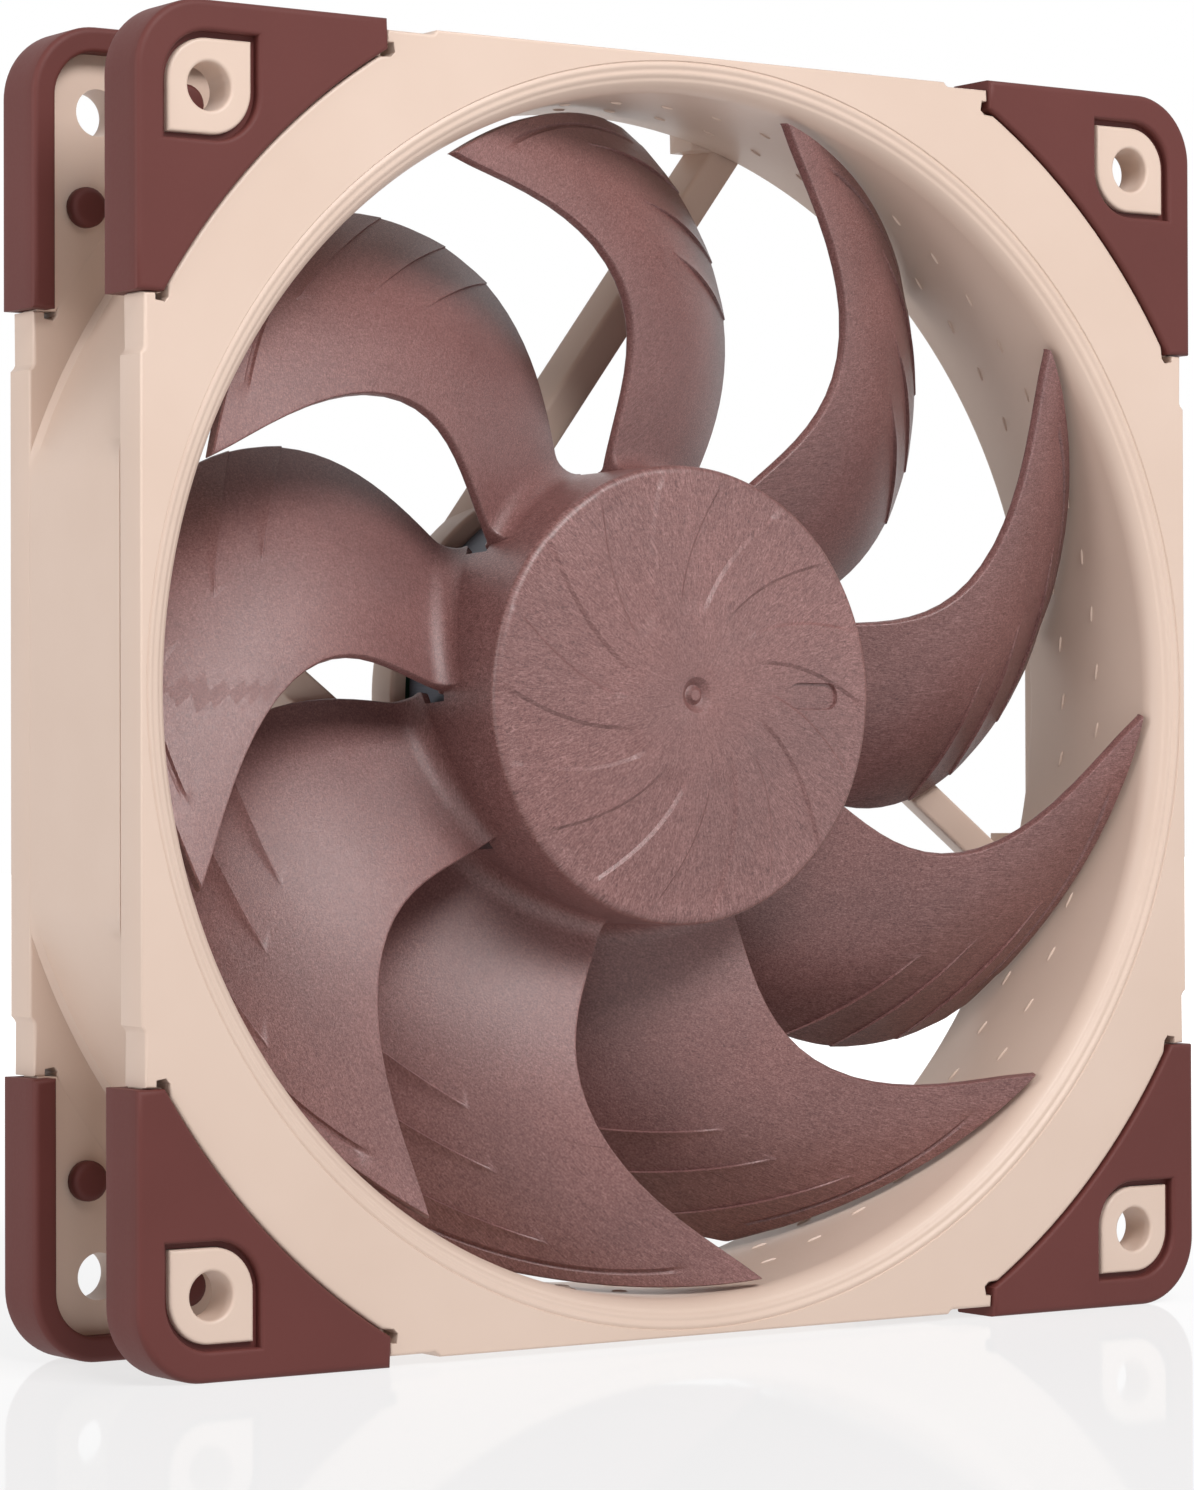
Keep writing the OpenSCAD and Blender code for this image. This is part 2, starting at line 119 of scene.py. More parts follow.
# One shell with another taken out of it
def cutAway(store, slug):
    solids = []
    for part in (store, slug):
        mesh = bpy.data.meshes.new("cutPart")
        mesh.from_pydata(part["verts"], [], part["faces"])
        solids.append(bpy.data.objects.new("cutPart", mesh))
        bpy.context.scene.collection.objects.link(solids[-1])
    cut = solids[0].modifiers.new("cut", "BOOLEAN")
    cut.operation = "DIFFERENCE"
    cut.solver = "EXACT"
    cut.object = solids[1]
    result = solids[0].evaluated_get(bpy.context.evaluated_depsgraph_get()).to_mesh()
    left = {"verts": [tuple(v.co) for v in result.vertices],
            "faces": [list(f.vertices) for f in result.polygons]}
    for part in solids:
        bpy.data.objects.remove(part)
    return left


def makePiece(name, store, material, body, replaced=(), sharp=32):
    mesh = bpy.data.meshes.new(name)
    mesh.from_pydata(store["verts"], [], store["faces"])
    mesh.validate()
    mesh.shade_smooth()
    mesh.set_sharp_from_angle(angle=math.radians(sharp))
    mesh.materials.append(material)
    piece = bpy.data.objects.new(name, mesh)
    bpy.context.scene.collection.objects.link(piece)
    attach(piece, body)
    if replaced:
        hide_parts(*replaced)
    return piece


# Turned shape: profile points are (radius, height) or (radius, height, flat), where flat cuts the four sides
def lathe(profile, count, angles=None):
    angles = angles or [360 * i / count for i in range(count)]
    rows = []
    for point in profile:
        row = []
        for a in angles:
            r = point[0]
            if len(point) > 2:
                c = max(abs(math.cos(math.radians(a))), abs(math.sin(math.radians(a))))
                r = min(r, point[2] / c)
            row.append(polar(r, a, point[1]))
        rows.append(row)
    return rows


# Moulded plate: loops are lists of (x, y, round), the outer one anticlockwise and the holes clockwise.
# round scales the edge radius at that corner, so 0 leaves it sharp.
def plate(store, loops, low, high, topRound=0.0, lowRound=0.0, steps=4, turn=None):
    support = 0.12
    levels = []
    if topRound:
        levels.append((topRound + support, 0.0, 1))
        for j in range(steps + 1):
            a = math.pi / 2 * j / steps
            levels.append((topRound * (1 - math.sin(a)), topRound * (1 - math.cos(a)), 1))
    else:
        levels.append((0.0, 0.0, 1))
    if lowRound:
        for j in range(steps, -1, -1):
            a = math.pi / 2 * j / steps
            levels.append((lowRound * (1 - math.sin(a)), lowRound * (1 - math.cos(a)), 0))
        levels.append((lowRound + support, 0.0, 0))
    else:
        levels.append((0.0, 0.0, 0))
    verts, faces, caps = [], [], ([], [])
    for loop in loops:
        n = len(loop)
        shift = []
        for i in range(n):
            ax, ay = loop[i][0] - loop[i - 1][0], loop[i][1] - loop[i - 1][1]
            bx, by = loop[(i + 1) % n][0] - loop[i][0], loop[(i + 1) % n][1] - loop[i][1]
            la, lb = math.hypot(ax, ay), math.hypot(bx, by)
            nx, ny = -ay / la - by / lb, ax / la + bx / lb
            size = max(1 + (ax * bx + ay * by) / (la * lb), 0.25)
            shift.append((nx / size, ny / size))
        base = len(verts)
        for inset, drop, upper in levels:
            for (x, y, k), (sx, sy) in zip(loop, shift):
                h = high - drop * k if upper else low + drop * k
                verts.append((x + sx * inset * k, y + sy * inset * k, h))
        for i in range(len(levels) - 1):
            for j in range(n):
                m = (j + 1) % n
                faces.append((base + i * n + j, base + i * n + m,
                              base + (i + 1) * n + m, base + (i + 1) * n + j))
        caps[0].append([base + j for j in range(n)])
        caps[1].append([base + (len(levels) - 1) * n + j for j in range(n)])
    for rings in caps:
        outlines = [[Vector((verts[i][0], verts[i][1], 0)) for i in ring] for ring in rings]
        flat = [i for ring in rings for i in ring]
        for tri in tessellate_polygon(outlines):
            faces.append(tuple(flat[i] for i in tri))
    addShell(store, [place(*v) for v in verts], faces, turn)


def arcPoints(cx, cy, radius, start, end, count, k=1.0):
    points = []
    for i in range(count + 1):
        a = math.radians(start + (end - start) * i / count)
        points.append((cx + radius * math.cos(a), cy + radius * math.sin(a), k))
    return points


def circleHole(cx, cy, radius, count=40, k=1.0):
    return arcPoints(cx, cy, radius, 0, -360 * (count - 1) / count, count - 1, k)


def quarterTurns(points, n):
    a = math.radians(90 * n)
    c, s = round(math.cos(a)), round(math.sin(a))
    return [(c * x - s * y, s * x + c * y, k) for x, y, k in points]


mirrorX = Matrix.Scale(-1, 4, (1, 0, 0))
mirrorY = Matrix.Scale(-1, 4, (0, 1, 0))
mirrorZ = Matrix.Scale(-1, 4, (0, 0, 1))


def nodeSetup(name):
    material = bpy.data.materials.new(name)
    material.use_nodes = True
    nodes, links = material.node_tree.nodes, material.node_tree.links
    shader = nodes["Principled BSDF"]
    coords = nodes.new("ShaderNodeTexCoord")
    return material, nodes, links, shader, coords


def noiseNode(nodes, links, vector, scale, detail=4.0, rough=0.55, distortion=0.0):
    noise = nodes.new("ShaderNodeTexNoise")
    noise.inputs["Scale"].default_value = scale
    noise.inputs["Detail"].default_value = detail
    noise.inputs["Roughness"].default_value = rough
    noise.inputs["Distortion"].default_value = distortion
    links.new(vector, noise.inputs["Vector"])
    return noise


def rampNode(nodes, links, value, stops):
    ramp = nodes.new("ShaderNodeValToRGB")
    elements = ramp.color_ramp.elements
    elements[0].position, elements[0].color = stops[0][0], (*stops[0][1], 1)
    elements[1].position, elements[1].color = stops[-1][0], (*stops[-1][1], 1)
    for position, color in stops[1:-1]:
        added = elements.new(position)
        added.color = (*color, 1)
    links.new(value, ramp.inputs["Fac"])
    return ramp


def mixColor(nodes, links, factor, first, second, mode="MIX"):
    mix = nodes.new("ShaderNodeMix")
    mix.data_type = "RGBA"
    mix.blend_type = mode
    if isinstance(factor, float):
        mix.inputs[0].default_value = factor
    else:
        links.new(factor, mix.inputs[0])
    links.new(first, mix.inputs[6])
    links.new(second, mix.inputs[7])
    return mix


def bumpNode(nodes, links, shader, height, strength, distance, after=None):
    bump = nodes.new("ShaderNodeBump")
    bump.inputs["Strength"].default_value = strength
    bump.inputs["Distance"].default_value = distance
    links.new(height, bump.inputs["Height"])
    if after is not None:
        links.new(after.outputs["Normal"], bump.inputs["Normal"])
    links.new(bump.outputs["Normal"], shader.inputs["Normal"])
    return bump


def roughnessRange(nodes, links, shader, value, low, high):
    spread = nodes.new("ShaderNodeMapRange")
    spread.inputs["To Min"].default_value = low
    spread.inputs["To Max"].default_value = high
    links.new(value, spread.inputs["Value"])
    links.new(spread.outputs["Result"], shader.inputs["Roughness"])


# Even moulded plastic or rubber: faint cloudiness in the colour and a fine surface grain
def mouldedMaterial(name, light, dark, roughness, grain=1600, grainHeight=0.00002, spread=0.06,
                    specular=0.5, strength=0.35):
    material, nodes, links, shader, coords = nodeSetup(name)
    spot = coords.outputs["Object"]
    cloud = noiseNode(nodes, links, spot, 60, 3)
    tone = rampNode(nodes, links, cloud.outputs["Fac"], [(0.3, dark), (0.7, light)])
    links.new(tone.outputs["Color"], shader.inputs["Base Color"])
    fine = noiseNode(nodes, links, spot, grain, 3)
    roughnessRange(nodes, links, shader, fine.outputs["Fac"], roughness - spread, roughness + spread)
    bumpNode(nodes, links, shader, fine.outputs["Fac"], strength, grainHeight)
    shader.inputs["Specular IOR Level"].default_value = specular
    return material


bladeFinish = {
    "pale": (0.36, 0.20, 0.19), "middle": (0.185, 0.078, 0.072), "deep": (0.075, 0.024, 0.022),
    "speckle": 5000, "streak": 4200, "roughness": (0.31, 0.43), "grainHeight": 0.00003,
}


# Fibre-filled plastic: speckle over flowing streaks, which follow the melt's way out from the hub
def fibrePlastic():
    material, nodes, links, shader, coords = nodeSetup("fibrePlastic")
    flow = nodes.new("ShaderNodeAttribute")
    flow.attribute_name = "flow"
    streak = noiseNode(nodes, links, flow.outputs["Vector"], bladeFinish["streak"], 5, 0.65, 2.4)
    speckle = noiseNode(nodes, links, coords.outputs["Object"], bladeFinish["speckle"], 4, 0.7, 0.4)
    cloud = noiseNode(nodes, links, coords.outputs["Object"], 75, 3, 0.5, 0.6)
    base = rampNode(nodes, links, streak.outputs["Fac"],
                    [(0.36, bladeFinish["deep"]), (0.5, bladeFinish["middle"]), (0.68, bladeFinish["pale"])])
    dots = rampNode(nodes, links, speckle.outputs["Fac"],
                    [(0.36, bladeFinish["deep"]), (0.5, bladeFinish["middle"]), (0.66, bladeFinish["pale"])])
    both = mixColor(nodes, links, 0.4, base.outputs["Color"], dots.outputs["Color"])
    shade = rampNode(nodes, links, cloud.outputs["Fac"],
                     [(0.3, (0.86, 0.84, 0.84)), (0.7, (1.08, 1.06, 1.05))])
    final = mixColor(nodes, links, 1.0, both.outputs[2], shade.outputs["Color"], "MULTIPLY")
    links.new(final.outputs[2], shader.inputs["Base Color"])
    roughnessRange(nodes, links, shader, speckle.outputs["Fac"], *bladeFinish["roughness"])
    first = bumpNode(nodes, links, shader, speckle.outputs["Fac"], 0.9, bladeFinish["grainHeight"])
    bumpNode(nodes, links, shader, streak.outputs["Fac"], 0.4, bladeFinish["grainHeight"] * 2, first)
    shader.inputs["Specular IOR Level"].default_value = 0.62
    return material


def brushedMetal(name, light, dark, roughness, stretch=(1, 1, 40)):
    material, nodes, links, shader, coords = nodeSetup(name)
    squash = nodes.new("ShaderNodeMapping")
    squash.inputs["Scale"].default_value = stretch
    links.new(coords.outputs["Object"], squash.inputs["Vector"])
    lines = noiseNode(nodes, links, squash.outputs["Vector"], 300, 4)
    tone = rampNode(nodes, links, lines.outputs["Fac"], [(0.3, dark), (0.7, light)])
    links.new(tone.outputs["Color"], shader.inputs["Base Color"])
    shader.inputs["Metallic"].default_value = 1.0
    roughnessRange(nodes, links, shader, lines.outputs["Fac"], roughness - 0.06, roughness + 0.08)
    bumpNode(nodes, links, shader, lines.outputs["Fac"], 0.15, 0.00002)
    return material


beigePlastic = mouldedMaterial("beigePlastic", (0.65, 0.50, 0.415), (0.62, 0.47, 0.385), 0.42,
                               grain=1400, grainHeight=0.000012, specular=0.4, strength=0.25)
siliconeRubber = mouldedMaterial("siliconeRubber", (0.112, 0.028, 0.024), (0.098, 0.024, 0.02), 0.58,
                                 grain=2600, grainHeight=0.00002, specular=0.28, strength=0.4)
fibre = fibrePlastic()
yokeSteel = brushedMetal("yokeSteel", (0.075, 0.077, 0.092), (0.045, 0.046, 0.056), 0.42)
brightSteel = brushedMetal("brightSteel", (0.66, 0.67, 0.68), (0.52, 0.53, 0.54), 0.25)
coreSteel = brushedMetal("coreSteel", (0.42, 0.44, 0.47), (0.30, 0.31, 0.34), 0.4, (1, 60, 1))
turnedBrass = brushedMetal("turnedBrass", (0.70, 0.52, 0.24), (0.56, 0.40, 0.17), 0.28, (1, 30, 1))
sinteredBronze = brushedMetal("sinteredBronze", (0.42, 0.27, 0.13), (0.28, 0.17, 0.08), 0.5, (4, 4, 4))
copperWire = brushedMetal("copperWire", (0.62, 0.24, 0.09), (0.38, 0.13, 0.05), 0.3, (3, 3, 14))
darkFerrite = mouldedMaterial("darkFerrite", (0.05, 0.05, 0.055), (0.03, 0.03, 0.034), 0.6)
blackPlastic = mouldedMaterial("blackPlastic", (0.04, 0.04, 0.042), (0.025, 0.025, 0.028), 0.5)
paleNylon = mouldedMaterial("paleNylon", (0.70, 0.66, 0.55), (0.62, 0.58, 0.47), 0.45)
boardGreen = mouldedMaterial("boardGreen", (0.03, 0.09, 0.055), (0.015, 0.05, 0.03), 0.35)
tanCeramic = mouldedMaterial("tanCeramic", (0.46, 0.37, 0.27), (0.38, 0.30, 0.21), 0.5)
labelFilm = mouldedMaterial("labelFilm", (0.62, 0.60, 0.57), (0.56, 0.54, 0.51), 0.3, grain=700)

nodeFinish = {
    "rotor_yoke": yokeSteel, "rotor_magnet": darkFerrite, "shaft_bush": turnedBrass, "shaft": brightSteel,
    "retaining_ring": brightSteel, "bearing_shell": turnedBrass, "bearing_sleeve": sinteredBronze,
    "oil_seal": blackPlastic, "axial_magnet": darkFerrite, "thrust_pad": paleNylon,
    "bearing_cap": turnedBrass, "stator_core": coreSteel, "upper_insulator": paleNylon,
    "lower_insulator": paleNylon, "coil_1": copperWire, "coil_2": copperWire, "coil_3": copperWire,
    "coil_4": copperWire, "circuit_board": boardGreen, "driver_chip": blackPlastic,
    "hall_sensor": blackPlastic, "capacitors": tanCeramic, "terminal_pins": brightSteel,
    "rear_label": labelFilm,
}
for node, material in nodeFinish.items():
    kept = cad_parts[node]
    kept.data.materials.clear()
    kept.data.materials.append(material)
print("materials ready")


blade = {
    "count": 9, "hubR": 21.5, "curveR": 21.0, "tipR": 55.4, "insideR": 20.9,
    "creaseR": 53.0, "creaseBow": 0.85,
    "leadTurn": (-21.7, -19.5, -28.9, 162.4, -94.4), "leadHeight": (1.6, 8.1, 0.4, 0.5),
    "trailTurn": (-57, -19.7, 43.2), "trailHeight": (-4.4, -10, 8.8),
    "thick": 1.3, "leadShare": 0.86, "trailShare": 0.45, "leadReach": 0.3, "trailReach": 0.6,
    "filletTop": 2.2, "filletLow": 0.5,
    "channelR": (42.7, 47.2, 52.3), "channelStart": 0.51, "channelIn": 1.7, "channelOut": 0.8,
    "channelRise": 0.26, "channelFirst": 0.08, "channelHalf": 0.14, "channelLip": 0.07, "channelGap": 0.003,
    "bandDrop": 0.32, "tipLift": 0.3, "leastThick": 0.12, "chordSteps": 48, "edgeSteps": 8,
}


def bladePoint(r, t, offset):
    s = (r - blade["curveR"]) / (blade["tipR"] - blade["curveR"])
    leadA, trailA = powers(blade["leadTurn"], s), powers(blade["trailTurn"], s)
    leadZ, trailZ = powers(blade["leadHeight"], s), powers(blade["trailHeight"], s)
    along = math.radians(trailA - leadA) * r
    up = (trailZ - leadZ) * (0.6 + 0.8 * t)
    length = math.hypot(along, up)
    a = leadA + (trailA - leadA) * t - math.degrees(offset * up / length / r)
    z = leadZ + (trailZ - leadZ) * (0.6 * t + 0.4 * t * t) + offset * along / length
    return r, a, z


# Radii across the blade at chord position t, each with the depth of the surface there
def bladeRows(t):
    rows = [(blade["insideR"], -blade["filletTop"], blade["filletLow"])]
    fillet, low = blade["filletTop"], blade["filletLow"]
    for j in range(8):
        a = math.pi / 2 * j / 7
        x = fillet * (1 - math.cos(a))
        under = low - math.sqrt(max(low ** 2 - max(low - x, 0) ** 2, 0)) if x < low else 0
        rows.append((blade["hubR"] + x, -fillet * (1 - math.sin(a)), under))
    u = max((t - blade["channelStart"]) / (1 - blade["channelStart"]), 0)
    inside = t > blade["channelStart"]
    rise = blade["channelFirst"] + blade["channelRise"] * ease(u, 0, 0.4)
    rise = rise * (1 - 0.5 * ease(u, 0.6, 1)) if inside else 0
    last = blade["hubR"] + fillet
    lip, half, plain = blade["channelLip"], blade["channelHalf"], 11
    for channelR in blade["channelR"]:
        start, end = channelR - half - blade["channelIn"] * u, channelR + half + blade["channelOut"] * u
        for j in range(1, plain + 1):
            rows.append((last + (start - lip - last) * j / plain, 0, 0))
        rows += [(start + lip, -rise, 0), (start + lip + 0.12, -rise * 0.92, 0),
                 ((start + end) / 2, -rise * 0.4, 0), (end + lip, 0, 0)]
        last, plain = end + lip, 3
    bow = math.sin(math.pi * min(max((t - 0.08) / 0.84, 0), 1)) ** 0.7
    crease = blade["creaseR"] + blade["creaseBow"] * bow
    crease = max(crease, last + 0.2)
    drop = blade["bandDrop"] * ease(t, 0.13, 0.24) * (1 - ease(t, 0.86, 0.9))
    tip = blade["tipR"]
    out = blade["tipLift"] * ease(t, 0.86, 0.9)
    crease = min(crease, tip - 0.95)
    rows += [(crease, 0, 0), (crease + 0.14, drop * 0.85, 0), (crease + 0.32, drop, 0),
             (crease + 0.55, drop * 0.25 + out * 0.3, 0), (tip - 0.3, drop * 0.18 + out * 0.8, 0),
             (tip - 0.12, drop * 0.2 + out, 0), (tip, drop * 0.3 + out + 0.16, 0.1)]
    return rows


def bladeShell():
    n = blade["chordSteps"]
    chord = [0.5 - 0.5 * math.cos(math.pi * j / n) for j in range(n + 1)]
    chord += [blade["channelStart"] - blade["channelGap"], blade["channelStart"] + blade["channelGap"]]
    chord.sort()
    columns = [bladeRows(t) for t in chord]
    rows, flow = [], []
    for i in range(len(columns[0])):
        top, bottom = [], []
        for t, column in zip(chord, columns):
            r, raised, under = column[i]
            share = blade["leadShare"] * (1 - t) + blade["trailShare"] * t
            thick = blade["thick"] * (share + (1 - share) * math.sin(math.pi * t))
            top.append(bladePoint(r, t, min(raised, thick - blade["leastThick"])))
            bottom.append(bladePoint(r, t, thick + under))
        row = list(top)
        row += roundEdge(top[-1], bottom[-1], top[-2], blade["trailReach"], 1.0)
        row += bottom[::-1]
        row += roundEdge(bottom[0], top[0], top[1], blade["leadReach"], 0.6)
        rows.append(row)
    return rows


# Curve that closes the blade's edge, from one face to the other; a power below 1 makes it squarer
def roundEdge(first, second, inner, reach, power):
    points = []
    r = first[0]
    scale = math.radians(1) * r
    ax, az, bx, bz = first[1] * scale, first[2], second[1] * scale, second[2]
    cx, cz = (ax + bx) / 2, (az + bz) / 2
    radius = math.hypot(ax - bx, az - bz) / 2
    nx, nz = (ax - cx) / radius, (az - cz) / radius
    ex, ez = -nz, nx
    if ex * (ax - inner[1] * scale) + ez * (az - inner[2]) < 0:
        ex, ez = -ex, -ez
    reach = min(radius, reach)
    for j in range(1, blade["edgeSteps"]):
        a = math.pi * j / blade["edgeSteps"]
        c, s = math.copysign(abs(math.cos(a)) ** power, math.cos(a)) * radius, math.sin(a) ** power * reach
        x, z = cx + nx * c + ex * s, cz + nz * c + ez * s
        points.append((r, x / scale, z))
    return points


hub = {
    "rimZ": 9.75, "topZ": 11.5, "edge": 0.9, "ridges": 18, "ridgeTurn": 26, "ridgeFrom": 6.8,
    "ridgeDepth": 0.26, "ridgeWide": 0.36, "firstRidge": 17.5, "skirtZ": 1.0, "innerR": 19.98, "innerZ": 8.0,
    "pill": (14.2, 0.0, 6.5, 2.7), "pillDepth": 0.3, "pillDraft": 0.32, "columns": 360, "topRows": 60,
    "flowR": 14.0, "mostTwist": 34,
}


# Height of the hub's domed face without its ridges
def domeHeight(r):
    return hub["topZ"] - (hub["topZ"] - hub["rimZ"]) * (r / (blade["hubR"] - hub["edge"])) ** 2


def gateHeight(r):
    pit = -0.75 * (1 - ease(r, 0.9, 1.8)) - 0.14 * (1 - ease(r, 1.7, 3.2))
    nub = 0.45 * (1 - ease(r, 0.45, 0.85))
    return pit + nub


# Lower edge of the skirt: level between the blades, and down along each blade's root
def skirtEdge(a):
    step = 360 / blade["count"]
    lead, trail = blade["leadTurn"][0] + 1.2, blade["trailTurn"][0] - 1.2
    local = (a - lead) % step - step
    if local < trail - lead:
        return hub["skirtZ"]
    t = local / (trail - lead)
    z = bladePoint(blade["curveR"], min(max(t, 0), 1), 0)[2] - 0.9
    return min(z, hub["skirtZ"])


def hubShell():
    n, rimR = hub["columns"], blade["hubR"] - hub["edge"]
    period = n // hub["ridges"]
    share = 360 / hub["ridges"]
    level = [(k % 2 == 0) == (j > 0) for k in range(hub["ridges"]) for j in range(period)]

    def spread(width):
        between = [0] + [width + (share - width) * (j - 1) / (period - 1) for j in range(1, period)]
        return [hub["firstRidge"] + k * share + offset for k in range(hub["ridges"]) for offset in between]

    angles = spread(math.degrees(hub["ridgeWide"] / rimR))
    rows = []
    for i in range(hub["topRows"] + 1):
        r = 0.02 + (rimR - 0.02) * (i / hub["topRows"]) ** 1.25
        twist = hub["ridgeTurn"] * max((rimR - r) / (rimR - hub["ridgeFrom"]), 0) ** 1.15
        depth = hub["ridgeDepth"] * ease(r, hub["ridgeFrom"], hub["ridgeFrom"] + 2.6)
        depth *= 1 - 0.5 * ease(r, rimR - 1.2, rimR)
        row = []
        for a, low in zip(spread(math.degrees(hub["ridgeWide"] / max(r, hub["ridgeFrom"]))), level):
            z = domeHeight(r) + gateHeight(r) - (depth if low else 0)
            row.append((r, a + min(twist, hub["mostTwist"]), z))
        rows.append(row)
    for j in range(1, 8):
        b = math.pi / 2 * j / 7
        r = rimR + hub["edge"] * math.sin(b)
        z = hub["rimZ"] - hub["edge"] + hub["edge"] * math.cos(b)
        rows.append([(r, a, z - (hub["ridgeDepth"] * 0.5 * (1 - j / 7) if low else 0))
                     for a, low in zip(angles, level)])
    low = [skirtEdge(a) for a in angles]
    top = hub["rimZ"] - hub["edge"]
    wall = blade["hubR"]
    for j in range(1, 13):
        rows.append([(wall, a, top + (z + 0.15 - top) * j / 12) for a, z in zip(angles, low)])
    rows.append([(wall - 0.15, a, z) for a, z in zip(angles, low)])
    rows.append([(hub["innerR"], a, z) for a, z in zip(angles, low)])
    rows.append([(hub["innerR"], a, hub["innerZ"]) for a in angles])
    rows.append([(8.0, a, hub["innerZ"]) for a in angles])
    rows.append([(0.02, a, hub["innerZ"]) for a in angles])
    return rows


# Rows of (radius, angle, height) to scene points
def polarRows(rows, turn=0.0):
    return [[polar(r, a + turn, z) for r, a, z in row] for row in rows]


# Slug that leaves the blank recess in the hub's face, a little wider towards the top
def recessSlug():
    pillX, pillY, pillLong, pillWide = hub["pill"]
    half = (pillLong - pillWide) / 2
    under, above = [], []
    for cx, start in ((pillX + half, -90), (pillX - half, 90)):
        for i in range(15):
            a = math.radians(start + 180 * i / 14)
            for rim, h in ((under, -hub["ridgeDepth"] - hub["pillDepth"]), (above, 1.5)):
                r = pillWide / 2 + h * hub["pillDraft"]
                x, y = cx + r * math.cos(a), pillY + r * math.sin(a)
                rim.append(place(x, y, domeHeight(math.hypot(x, y)) + h))
    slug = newStore()
    addShell(slug, *endCaps(*gridFaces([under, above]), [under, above]))
    return slug


impellerMesh = newStore()
shell = bladeShell()
for k in range(blade["count"]):
    verts, faces = gridFaces(polarRows(shell, 360 / blade["count"] * k))
    n = len(shell[0])
    half = n // 2
    # strips that close the shell at the root and at the tip
    for base in (0, (len(shell) - 1) * n):
        for j in range(half):
            faces.append((base + j, base + j + 1, base + n - 2 - j, base + n - 1 - j)
                         if j + 1 < n - 2 - j else (base + j, base + j + 1, base + n - 1 - j))
    addShell(impellerMesh, verts, faces)
bladeVerts = len(impellerMesh["verts"])
hubMesh = newStore()
addShell(hubMesh, *endCaps(*gridFaces(polarRows(hubShell())), hubShell()))
joinStore(impellerMesh, cutAway(hubMesh, recessSlug()))
impellerPiece = makePiece("impellerMoulding", impellerMesh, fibre, "rotor",
                          ("impeller",), 34)

# The streaks' coordinates: along the blade from the hub on the blades, and out from the gate on the face
flowData = impellerPiece.data.attributes.new("flow", "FLOAT_VECTOR", "POINT")
values = []
for index, vertex in enumerate(impellerPiece.data.vertices):
    x, y, h = vertex.co.x / mm, vertex.co.z / mm, -vertex.co.y / mm
    r, a = math.hypot(x, y), math.atan2(y, x)
    if index < bladeVerts:
        values += [r * 0.14 * mm, a * r * mm, h * mm]
    else:
        around = hub["flowR"] * mm
        values += [math.cos(a) * around, math.sin(a) * around, (r * 0.22 + h * 0.3) * mm]
flowData.data.foreach_set("vector", values)
print("impeller built", len(impellerPiece.data.polygons))


body = {
    "half": 60.0, "face": 12.1, "inner": 8.3, "side": 59.4, "sideStep": 59.0, "core": 58.65,
    "sideMid": 29.0, "padEdge": 34.4, "padGap": 0.14, "seat": 10.9, "arcR": 66.75, "ductR": 56.1,
    "lipR": 2.8, "plateR": 58.9, "barrelR": 62.6, "outletR": 60.6, "outletFlat": 58.6,
    "holeAt": 52.5, "holeR": 2.15, "edge": 0.35, "coreCorner": 5.2,
    "notch": (57.9, 57.0, 56.6),
}


# One quarter of the flange's outline, without the corner that the pad covers
def sideStretch():
    start = body["padEdge"] - body["padGap"]
    arc = body["arcR"] - body["padGap"]
    x = math.sqrt(arc ** 2 - start ** 2)
    a0 = math.degrees(math.atan2(start, x))
    mid, side, step, notch = body["sideMid"], body["side"], body["sideStep"], body["notch"]
    points = [(side, -mid, 0.6), (side, mid - 0.01, 0.6), (step + 0.12, mid + 0.35, 1), (step, mid + 0.6, 1),
              (step, start, 0.7), (notch[0], start, 0.4), (notch[0], start - 0.6, 0.3),
              (notch[1], start - 0.75, 0.3), (notch[2], start - 0.3, 0.3)]
    points += arcPoints(0, 0, arc, a0 + 0.9, 90 - a0 - 0.9, 26, 1.0)
    mirrored = [(y, x, k) for x, y, k in points[3:9]][::-1]
    return points + mirrored + [(mid + 0.35, step + 0.12, 1)]


def flangeOutline():
    outline = []
    for n in range(4):
        outline += quarterTurns(sideStretch(), n)
    return outline


# Corner of the flange under a pad, thinner than the rest
def cornerOutline():
    start = body["padEdge"] - body["padGap"]
    arc = body["arcR"] - body["padGap"]
    x = math.sqrt(arc ** 2 - start ** 2)
    a0 = math.degrees(math.atan2(start, x))
    core, r = body["core"], body["coreCorner"]
    points = [(core, start, 0)]
    points += arcPoints(core - r, core - r, r, 0, 90, 12, 0)
    points += [(start, core, 0)]
    points += arcPoints(0, 0, arc - 0.25, 90 - a0 - 0.2, a0 + 0.2, 26, 0)
    return points


# Leaf round a screw hole, with two opposite corners rounded
def leafOutline(size, radius, k=1.0):
    c, h = body["holeAt"], size / 2
    points = arcPoints(c + h - radius, c + h - radius, radius, 0, 90, 12, k)
    points += [(c - h, c + h, k)]
    points += arcPoints(c - h + radius, c - h + radius, radius, 180, 270, 12, k)
    points += [(c + h, c - h, k)]
    return points


def openingLoop():
    points = []
    for i in range(240):
        a = -360 * i / 240
        c, s = math.cos(math.radians(a)), math.sin(math.radians(a))
        r = min(body["outletR"], body["outletFlat"] / max(abs(c), abs(s)))
        points.append((r * c, r * s, 1))
    return points


